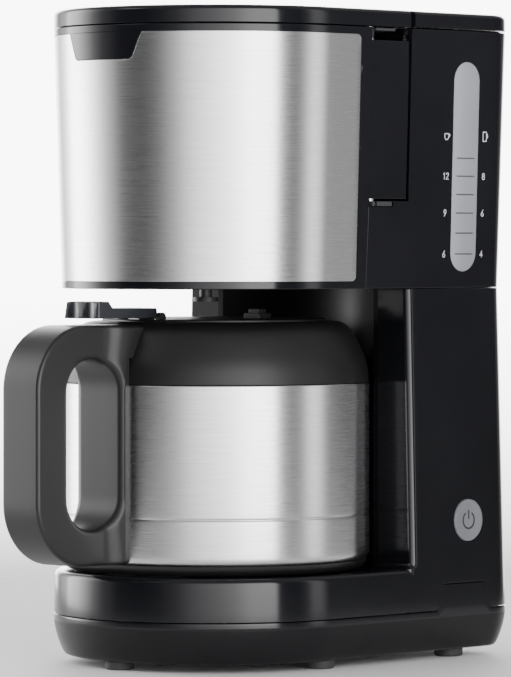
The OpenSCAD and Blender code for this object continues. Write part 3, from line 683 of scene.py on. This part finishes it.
def panel_solid(grow, outer, inner):
    """Curved plate on the front of the filter unit between two insets, its corners rounded."""
    y, z0, z1, r = PANEL_END + grow, PANEL_LOW - grow, PANEL_HIGH + grow, PANEL_R
    plate = keep(cut(body_loft(BREW, COVER - 0.5, outer), body_loft(BREW - 3, COVER + 3, inner)),
                 box((-FAR, -FAR, z0), (FAR, y, z1)))
    for z, side in ((z0, 1), (z1, -1)):
        corner = [(y - r + r * s, z + side * r * c) for s, c in quarter(8)]
        corner += [(y + 2, z + side * r), (y + 2, z - side * 2), (y - r, z - side * 2)]
        cut(plate, prism_x(corner, -FAR, FAR))
    return plate


def make_door():
    top, wing_top, wall_top = COVER - 0.5, COVER - 7, COVER - 9
    shell = cut(body_loft(BREW, top, 0, 0.5, 0.5), body_loft(BREW + WALL, top + 5, WALL + 0.9))
    keep(shell, box((-FAR, -FAR, 150), (FAR, 26, 350)))
    cut(shell, drum(BLOCK_BAY_R, *HINGE, 150, 350), panel_solid(0.3, -0.5, 0.95))
    wing_hollow = cut(body_loft(WING + 4, wing_top - 4, WALL), drum(6, *HINGE, 100, 400, 48))
    wing_plan = fuse(keep(box((50, 18, 100), (FAR, 54, 400)), drum(WING_R, *HINGE, 90, 410)),
                     box((50, 18, 100), (FAR, HINGE[1], 400)))
    wing = keep(cut(body_loft(WING, wing_top, 0, 0.4, 0.4), wing_hollow), wing_plan)
    bucket = cut(drum(BUCKET_R, *BUCKET, BREW + 0.1, wall_top, 128),
                 drum(BUCKET_R - 2, *BUCKET, BREW + WALL, 400, 128))
    walls = [cut(prism_y([(s * 35, BREW + 1), (s * 72.5, BREW + 1), (s * 76.6, wall_top),
                          (s * 35, wall_top)], 18, 20.5),
                 drum(BUCKET_R - 1, *BUCKET, 100, 400, 128))
             for s in (-1, 1)]
    fuse(shell, wing, bucket, *walls)
    cut(shell, drum(PIN_R, *HINGE, 200, 340, 48), drum(4.2, *BUCKET, 180, 210, 48),
        badge_prism(0.35))
    return soften(shell, 0.14, 2, 55)


piece(make_door(), "filter_housing", gloss, "filter_door", "gloss_black", "door_shell")
panel = soften(cut(panel_solid(0.0, 0.0, 0.85), badge_prism(0.3)), 0.25, 2, 60)
piece(panel, "steel_front", steel, "filter_door", "brushed_steel", "steel_panel")
wrap_uv(panel)
badge = keep(cut(body_loft(BREW, COVER - 0.5), body_loft(BREW - 3, COVER + 3, 3.2)), badge_prism(0))
piece(soften(badge, 0.5, 3, 50), "front_badge", gloss, "filter_door", "gloss_black", "badge_tab")

# ---------- jug ----------
GROOVE_Z = 76.8
wall = [(62, 53.6), (76.4, 53.6), (78.2, 54.0), (79.3, 54.9), (79.8, 56.2), (JUG_R, 57.6)]
wall += [(JUG_R, z) for z in (60, 64, 68, 72, 75.6)]
wall += [(JUG_R - d, GROOVE_Z + dz)
         for d, dz in ((0.08, -0.7), (0.42, -0.3), (0.5, 0), (0.42, 0.3), (0.08, 0.7))]
wall += [(JUG_R, z) for z in (78.2, 82, 88, 94, 100, 106, 112, 118, 124, 130, 136, 140, 143.3)]
wall += [(JUG_R - 0.2, 143.6), (JUG_R - 0.9, 143.6), (JUG_R - 0.9, 100), (JUG_R - 0.9, 57.4),
         (78.3, 55.5), (76.7, 54.6), (62, 54.6)]
jug = piece(turned(wall), "jug_body", steel, "jug", "brushed_steel", "jug_shell")
wrap_uv(jug, JUG_R)
ring_foot = [(0.01, 50.3), (70, 50.3), (70.6, 48.9), (71.4, 48.3), (73.6, 48.3), (75.2, 48.8),
             (77.2, 50.3), (78.2, 52.0), (78.6, 53.5), (60, 53.5), (58, 52.4), (0.01, 52.4)]
piece(turned(ring_foot), "jug_foot", satin, "jug", "satin_black", "jug_base")
collar = [(79.2, 143.8), (79.55, 144.2), (79.6, 145), (79.5, 147), (79.3, 149.5), (78.9, 152),
          (78.2, 154.8), (77, 158), (75.4, 161.6), (73.8, 165), (72.2, 168.2), (70.6, 170.6),
          (69.0, 172.3), (67.2, 173.6), (65.4, 174.4), (63.4, 174.85), (61, 175.1), (58.9, 175.2),
          (58.4, 174.9), (58.4, 164), (47.6, 164), (47.6, 161), (56, 160.4), (68, 156.6),
          (76.2, 149), (76.8, 143.8)]
piece(turned(collar), "jug_shoulder", collar_mat, "jug", "satin_black", "jug_collar")


def polar(points, centre, angles):
    """Points of a closed outline in the given directions from a centre."""
    d = np.array(points) - np.array(centre)
    a, r = np.arctan2(d[:, 1], d[:, 0]), np.hypot(d[:, 0], d[:, 1])
    order = np.argsort(a)
    a, r = a[order], r[order]
    rr = np.interp(angles, np.concatenate([a - 2 * np.pi, a, a + 2 * np.pi]),
                   np.concatenate([r, r, r]))
    return [(centre[0] + q * math.cos(t), centre[1] + q * math.sin(t)) for q, t in zip(rr, angles)]


def dense(points, step=0.4):
    """Closed outline with further points along its sides."""
    out = []
    for i, p in enumerate(points):
        q = points[(i + 1) % len(points)]
        n = max(1, int(math.dist(p, q) / step))
        out += [(p[0] + (q[0] - p[0]) * k / n, p[1] + (q[1] - p[1]) * k / n) for k in range(n)]
    return out


def flare(y):
    """How much wider the handle gets towards its cradle on the jug."""
    t = max(0.0, min(1.0, (y + 97.0) / 12.0))
    return 1 + 0.27 * t * t * (3 - 2 * t)


def make_handle():
    """A closed loop: rings round its outside and its finger gap, with rounded rims between."""
    y0, y1, z0, z1 = HANDLE_Y, -72.0, 54.0, 174.0
    gap_y0, gap_y1, gap_z0, gap_z1 = HANDLE_Y + 20.8, JUG_Y - CRADLE_R, 72.0, 157.0
    centre = ((gap_y0 + gap_y1) / 2, (gap_z0 + gap_z1) / 2)
    angles = [2 * math.pi * (i + 0.5) / 220 - math.pi for i in range(220)]

    def loop(lo, hi, radii):
        corners = [lo, (hi[0], lo[1]), hi, (lo[0], hi[1])]
        return polar(dense(fillet(corners, radii, 24)), centre, angles)

    def outer(d):
        return loop((y0 + d, z0 + d), (y1, z1 - d), [HANDLE_R - d, 0.5, 0.5, HANDLE_R - d])

    def inner(d):
        return loop((gap_y0 - d, gap_z0 - d), (gap_y1 + d, gap_z1 + d),
                    (gap_y1 - gap_y0) / 2 - 0.02 + d)

    half, r_out, r_in = HANDLE_W / 2, 2.0, 3.0
    right = [(half - r_out + r_out * s, outer(r_out * c)) for s, c in quarter(6)[1:]]
    right += [(half, between(outer(r_out), inner(r_in), t)) for t in (0.12, 0.5, 0.88)]
    right += [(half - r_in * c, inner(r_in * (1 - s))) for s, c in quarter(6)]
    rows = [(x, outer(0)) for x in (r_out - half, -half / 3, half / 3, half - r_out)] + right
    rows += [(x, inner(0)) for x in (half / 3, -half / 3)]
    rows += [(-x, ring) for x, ring in reversed(right)]
    grip = skin([[(x * flare(y), y, z) for y, z in ring] for x, ring in rows], closed_rows=True)
    cut(grip, drum(JUG_R - 0.3, 0, JUG_Y, 40, 157.5, 192))
    cradle = keep(cut(drum(CRADLE_R, 0, JUG_Y, 57, 160, 192),
                      drum(JUG_R + 0.05, 0, JUG_Y, 40, 190, 192)),
                  prism_y(fillet([(-17, 57), (17, 57), (17, 160), (-17, 160)], 5), -100, -70))
    return merged(grip, soften(cradle, 0.8, 3, 50))


piece(make_handle(), "jug_grip", satin, "jug", "satin_black", "jug_handle", sharp=40)


def make_jug_lid():
    profile = [(20, 153), (44, 153), (44, 164.4), (57.4, 164.4), (57.8, 164.8), (57.8, 175.2),
               (57.5, 176.0), (56.8, 176.4), (0.01, 176.4), (0.01, 173.6), (18, 173.6), (18, 155)]
    # passages for the lever's arm, the chamber of the pour valve and its bores
    top = cut(turned(profile), box((-6.4, -56.4, 168.9), (6.4, -51.2, 177)),
              box((-6.4, -52, 168.9), (6.4, -31.5, 174.2)), drum(5.5, 0, VALVE_Y, 164.1, 167.4, 48),
              drum(3.5, 0, VALVE_Y, 150, 165, 48), drum(1.5, 0, VALVE_Y, 166, 170, 32))
    ear = fillet([(-59.5, 176), (-54.8, 176), (-54.8, 180.0), (-59.5, 180.0)], [0, 0, 2.2, 2.2])
    extras = [prism_x(ear, x - 1.6, x + 1.6) for x in (-13.6, 13.6)]
    # stepped stop that the thumb turns the lid by
    extras += [box((10, 6.6, 176), (22, 14.6, 179)), box((12, 8, 178.5), (20, 13.2, 181.2))]
    for e in extras:
        soften(e, 0.35)
    return merged(top, *extras)


piece(make_jug_lid(), "jug_top", collar_mat, "jug_lid", "satin_black", "jug_lid")


def make_lever():
    y0, half = JUG_Y - 96, 11
    side = fillet([(y0, 177.2), (y0 + 1.7, 185.6), (y0 + 9.6, 185.8), (y0 + 12.6, 182.2),
                   (y0 + 45, 182.2), (y0 + 47, 178.2), (y0 + 46, 177.4), (y0 + 12, 177.2)],
                  [0.6, 0.6, 0.8, 1.5, 0.6, 0.3, 0.2, 0.2])
    # rear corners cut off, two upright flutes in the front of the thumb pad and one down each side
    plan = [(-half, y0 - 1), (half, y0 - 1), (half, y0 + 42.5), (7.5, y0 + 48), (-7.5, y0 + 48),
            (-half, y0 + 42.5)]
    arm = keep(prism_x(side, -half, half), prism_z(plan, 170, 190))
    cut(arm, *[drum(7, x, y0 - 5.0, 170, 190, 96) for x in (-5.6, 5.6)],
        *[drum(1.0, x, y0 + 2.6, 170, 190, 32) for x in (-11.5, 11.5)])
    return soften(arm, 0.35, 3, 35)


piece(make_lever(), "thumb_lever", lever_mat, "lid_lever", "lever_plastic", "lid_lever")


# ---------- level gauge ----------

def gauge_bulge(grow):
    """How far the gauge's crowned face stands out of the flank, grow inside its outline."""
    return 0.75 * (1 - max(0.0, 1 + grow / GAUGE_R) ** 2.4) - 0.35


def make_gauge():
    rings = [[(flank_x(z) - 3.2, y, z) for y, z in stadium(0)]]
    for g in (0.0, -0.06, -0.25, -0.6, -1.2, -2.2, -3.6, -5.2, -7.0, -8.6, -9.6):
        rings.append([(flank_x(z) + gauge_bulge(g), y, z) for y, z in stadium(g)])
    return skin(rings)


piece(make_gauge(), "gauge_window", gauge_mat, "root", "gauge_clear", "level_gauge")


def make_bars():
    """Bars printed across the gauge, following its crowned face."""
    steps, half, tall, thick = 16, 6.8, 0.35, 0.15
    ys = [GAUGE_Y - half + 2 * half * i / steps for i in range(steps + 1)]
    lift = [gauge_bulge(abs(y - GAUGE_Y) - GAUGE_R) + 0.05 for y in ys]
    corners = ((-tall, -thick), (-tall, 0), (tall, 0), (tall, -thick))
    n = len(ys)
    faces = [(a * n + i, a * n + i + 1, (a + 1) % 4 * n + i + 1, (a + 1) % 4 * n + i)
             for a in range(4) for i in range(n - 1)]
    faces += [(0, n, 2 * n, 3 * n), (n - 1, 2 * n - 1, 3 * n - 1, 4 * n - 1)]
    return merged(*[obj_from([(flank_x(z + dz) + l + dx, y, z + dz)
                              for dz, dx in corners for y, l in zip(ys, lift)], faces)
                    for z in (209.3, 220.1, 230.5, 240.1, 249.6, 258.9)])


piece(make_bars(), "gauge_bars", ink_mat, "root", "print_ink", "gauge_marks")


def flank_patch(points):
    """Thin printed shape on the right flank: an outline in Y and Z."""
    top = [(flank_x(z) + 0.06, y, z) for y, z in points]
    return skin([[(x - 0.25, y, z) for x, y, z in top], top])


def stroke(points, closed=False, width=0.42):
    """Flat line of constant width along points in Y and Z."""
    pts = [Vector(p) for p in points]
    n = len(pts)
    left, right = [], []
    for i, p in enumerate(pts):
        a = pts[i - 1] if (i or closed) else None
        b = pts[(i + 1) % n] if (i < n - 1 or closed) else None
        d1 = (p - a).normalized() if a is not None else (b - p).normalized()
        d2 = (b - p).normalized() if b is not None else d1
        t = (d1 + d2).normalized()
        nrm = Vector((-t.y, t.x)) * (width / 2 / max(0.5, t.dot(d1)))
        if a is None:
            p = p - d1 * width / 2
        if b is None:
            p = p + d2 * width / 2
        left.append(p + nrm)
        right.append(p - nrm)
    pairs = [(i, (i + 1) % n) for i in range(n if closed else n - 1)]
    return [flank_patch([tuple(q) for q in (left[i], left[j], right[j], right[i])])
            for i, j in pairs]


def glyph(kind, y, z):
    """Digits 3.2 mm high and two cup outlines, seen from the right with Y running to the right."""
    h, w = 1.6, 0.85

    def loop(cz, r, n):
        return stroke(arc(y, cz, r, r, 0, 360, n)[:-1], closed=True)

    if kind == "1":
        return stroke([(y - 0.55, z + h - 0.7), (y + 0.1, z + h), (y + 0.1, z - h)])
    if kind == "2":
        return stroke(arc(y, z + h - w, w, w, 165, -35, 10) + [(y - w, z - h), (y + w, z - h)])
    if kind == "4":
        return stroke([(y + 0.45, z - h), (y + 0.45, z + h), (y - w, z - 0.6),
                       (y + w + 0.1, z - 0.6)])
    if kind == "6":
        return stroke([(y + 0.5, z + h), (y - 0.65, z - 0.1)]) + loop(z - h + w, w, 18)
    if kind == "9":
        return stroke([(y - 0.5, z - h), (y + 0.65, z + 0.1)]) + loop(z + h - w, w, 18)
    if kind == "8":
        return loop(z + h - 0.72, 0.72, 16) + loop(z - h + 0.86, 0.86, 18)
    if kind == "cup":
        bowl = [(y - 1.9, z + 1.5), (y + 1.2, z + 1.5), (y + 1.05, z - 0.6), (y + 0.4, z - 1.5),
                (y - 1.1, z - 1.5), (y - 1.75, z - 0.6)]
        return stroke(bowl, closed=True) + stroke(arc(y + 1.2, z + 0.6, 0.95, 0.75, 90, -90, 8))
    mug = [(y - 1.5, z + 2.4), (y + 1.1, z + 2.4), (y + 1.1, z - 2.4), (y - 1.5, z - 2.4)]
    ear = [(y + 1.1, z + 1.6), (y + 2.0, z + 1.2), (y + 2.0, z - 0.4), (y + 1.1, z - 0.8)]
    return stroke(mug, closed=True) + stroke(ear)


marks = []
for kind, y, z in (("1", 83.1, 249.6), ("2", 85.4, 249.6), ("9", 84.3, 230.5), ("6", 84.1, 209.3),
                   ("cup", 84.6, 270.0), ("8", 113.6, 249.6), ("6", 113.4, 230.5),
                   ("4", 113.2, 209.3), ("mug", 114.2, 270.3)):
    marks += glyph(kind, y, z)
piece(merged(*marks), "flank_print", print_mat, "root", "print_ink")

# ---------- power button ----------
dished = [(0.01, -0.35), (4.0, -0.35), (7.2, -0.25), (9.2, -0.05), (10.1, 0.0), (10.6, -0.15),
          (10.9, -0.5), (BUTTON_R, -1.0)]
button = turned_x([(r, BUTTON_FACE + dx) for r, dx in dished]
                  + [(BUTTON_R, 74.0), (8.5, 74.0), (8.5, 79.0), (0.01, 79.0)], BUTTON_Y, BUTTON_Z)
piece(button, "start_button", button_mat, "power_button", "button_grey", "power_button")


def make_symbol():
    """Power sign: an open ring and an upright bar, sunk into the button's face."""
    r, line, open_by, thick, n = 4.3, 0.85, 32, 0.3, 40
    x = BUTTON_FACE - 0.24
    a0, a1 = 90 + open_by, 450 - open_by
    out_r, in_r = r + line / 2, r - line / 2
    pts = (arc(BUTTON_Y, BUTTON_Z, out_r, out_r, a0, a1, n)
           + arc(BUTTON_Y, BUTTON_Z, in_r, in_r, a1, a0, n))
    m = len(pts)
    faces = [(o + i, o + i + 1, o + m - 2 - i, o + m - 1 - i) for o in (0, m) for i in range(n)]
    faces += [(i, (i + 1) % m, m + (i + 1) % m, m + i) for i in range(m)]
    ring = obj_from([(x - thick, y, z) for y, z in pts] + [(x, y, z) for y, z in pts], faces)
    lo, hi = (BUTTON_Y - 0.42, BUTTON_Z + 0.6), (BUTTON_Y + 0.42, BUTTON_Z + 5.4)
    bar = fillet([lo, (hi[0], lo[1]), hi, (lo[0], hi[1])], 0.3)
    return merged(ring, prism_x(bar, x + 0.02 - thick, x + 0.02))


piece(make_symbol(), "power_symbol", symbol_mat, "power_button", "print_ink", "button_symbol")

# ---------- feet ----------
pad = [(0.01, 0.0), (6.2, 0.0), (7.1, 0.3), (7.5, 1.0), (7.5, 4.2), (7.2, 4.5), (0.01, 4.5)]
piece(merged(*[turned(pad, x, y, 64) for x, y in FEET]), "rubber_feet", rubber_mat, "root",
      "rubber_foot", "feet")


# ---------- floor, light, camera; metres from here on ----------

def make_floor(radius, colour=(0.9, 0.9, 0.9), n=96):
    mat, tree, sh = new_material("floor_paint")
    co = tree.nodes.new("ShaderNodeTexCoord").outputs["Object"]
    cloud = mapped(tree, noise_node(tree, co, 3.0, 3), 0, 1)
    tree.links.new(mixed(tree, cloud, tuple(c * 0.99 for c in colour), colour),
                   sh.inputs["Base Color"])
    sh.inputs["Roughness"].default_value = 0.7
    floor = bpy.data.objects.new("floor", bpy.data.meshes.new("floor"))
    floor.data.from_pydata([(x, y, 0) for x, y in circle(radius, n=n)], [], [tuple(range(n))])
    floor.data.materials.append(mat)
    bpy.context.scene.collection.objects.link(floor)


make_floor(0.62)

# soft studio: how bright the surroundings are in each direction round the object, in degrees
# from +X, as large softboxes and dark flags would make them; even and dim overhead
AROUND = [(-180, 4), (-174, 11), (-161, 11), (-151, 6.4), (-142, 2.8), (-133, 1.0), (-118, 0.10),
          (-108, 0.02), (-98, 0.02), (-85, 0.2), (-72, 0.8), (-60, 2.2), (-43, 3.8), (-31, 5.5),
          (-19, 8.8), (0, 9.2), (1.5, 0.25), (18, 0.1), (25, 0.6), (31, 2.4), (38, 2.1), (43, 0.7),
          (46, 0.22), (75, 0.1), (100, 0.6), (122, 9), (134, 9), (146, 9), (164, 1.0), (180, 4)]
PEAK, OVERHEAD = 12.0, 0.55
BACKDROP, FLOOR_TONE = math.radians(134), 1.45


def studio():
    world = bpy.data.worlds.new("studio")
    bpy.context.scene.world = world
    world.use_nodes = True
    tree = world.node_tree
    split = tree.nodes.new("ShaderNodeSeparateXYZ")
    tree.links.new(tree.nodes.new("ShaderNodeTexCoord").outputs["Generated"], split.inputs[0])
    x, y, z = (split.outputs[k] for k in "XYZ")
    turn = math_node(tree, "ARCTAN2", y, x)
    ramp = tree.nodes.new("ShaderNodeValToRGB")
    stops = ramp.color_ramp.elements
    while len(stops) > 1:
        stops.remove(stops[-1])
    for k, (angle, level) in enumerate(AROUND):
        stop = stops[0] if k == 0 else stops.new((angle + 180) / 360)
        stop.position = (angle + 180) / 360
        stop.color = (level / PEAK, level / PEAK, level / PEAK, 1)
    tree.links.new(mapped(tree, turn, 0, 1, -math.pi, math.pi), ramp.inputs["Fac"])
    sky = mixed(tree, mapped(tree, z, 0, 1, 0.3, 0.62), ramp.outputs["Color"],
                (OVERHEAD / PEAK,) * 3)
    # behind the object the backdrop runs down into the tone of the floor
    away = math_node(tree, "ABSOLUTE", math_node(tree, "SUBTRACT", turn, BACKDROP))
    under = math_node(tree, "MULTIPLY", mapped(tree, away, 1, 0, 0.22, 0.34),
                      mapped(tree, z, 1, 0, -0.069, -0.012))
    background = tree.nodes["Background"]
    tree.links.new(mixed(tree, under, sky, (FLOOR_TONE / PEAK,) * 3), background.inputs["Color"])
    background.inputs["Strength"].default_value = PEAK


studio()


def aimed(name, data, at, direction):
    obj = bpy.data.objects.new(name, data)
    obj.location = at
    obj.rotation_euler = Vector(direction).to_track_quat("-Z", "Y").to_euler()
    bpy.context.scene.collection.objects.link(obj)
    return obj


key = bpy.data.lights.new("front_key", "AREA")
key.shape, key.size, key.size_y, key.energy = "RECTANGLE", 0.8, 0.8, 6
key_at = Vector((-0.9, -1.9, 1.9))
aimed("front_key", key, key_at, Vector((0, 0, 0.15)) - key_at)

cam = bpy.data.cameras.new("camera")
cam.lens, cam.sensor_width, cam.sensor_fit = 254.7, 36.0, "AUTO"
cam.shift_x, cam.shift_y = 0.0, -0.1465
cam.clip_start, cam.clip_end = 0.05, 50
bpy.context.scene.camera = aimed("camera", cam, (1.7278, -1.7633, 0.2169), (-0.6947, 0.7193, 0))
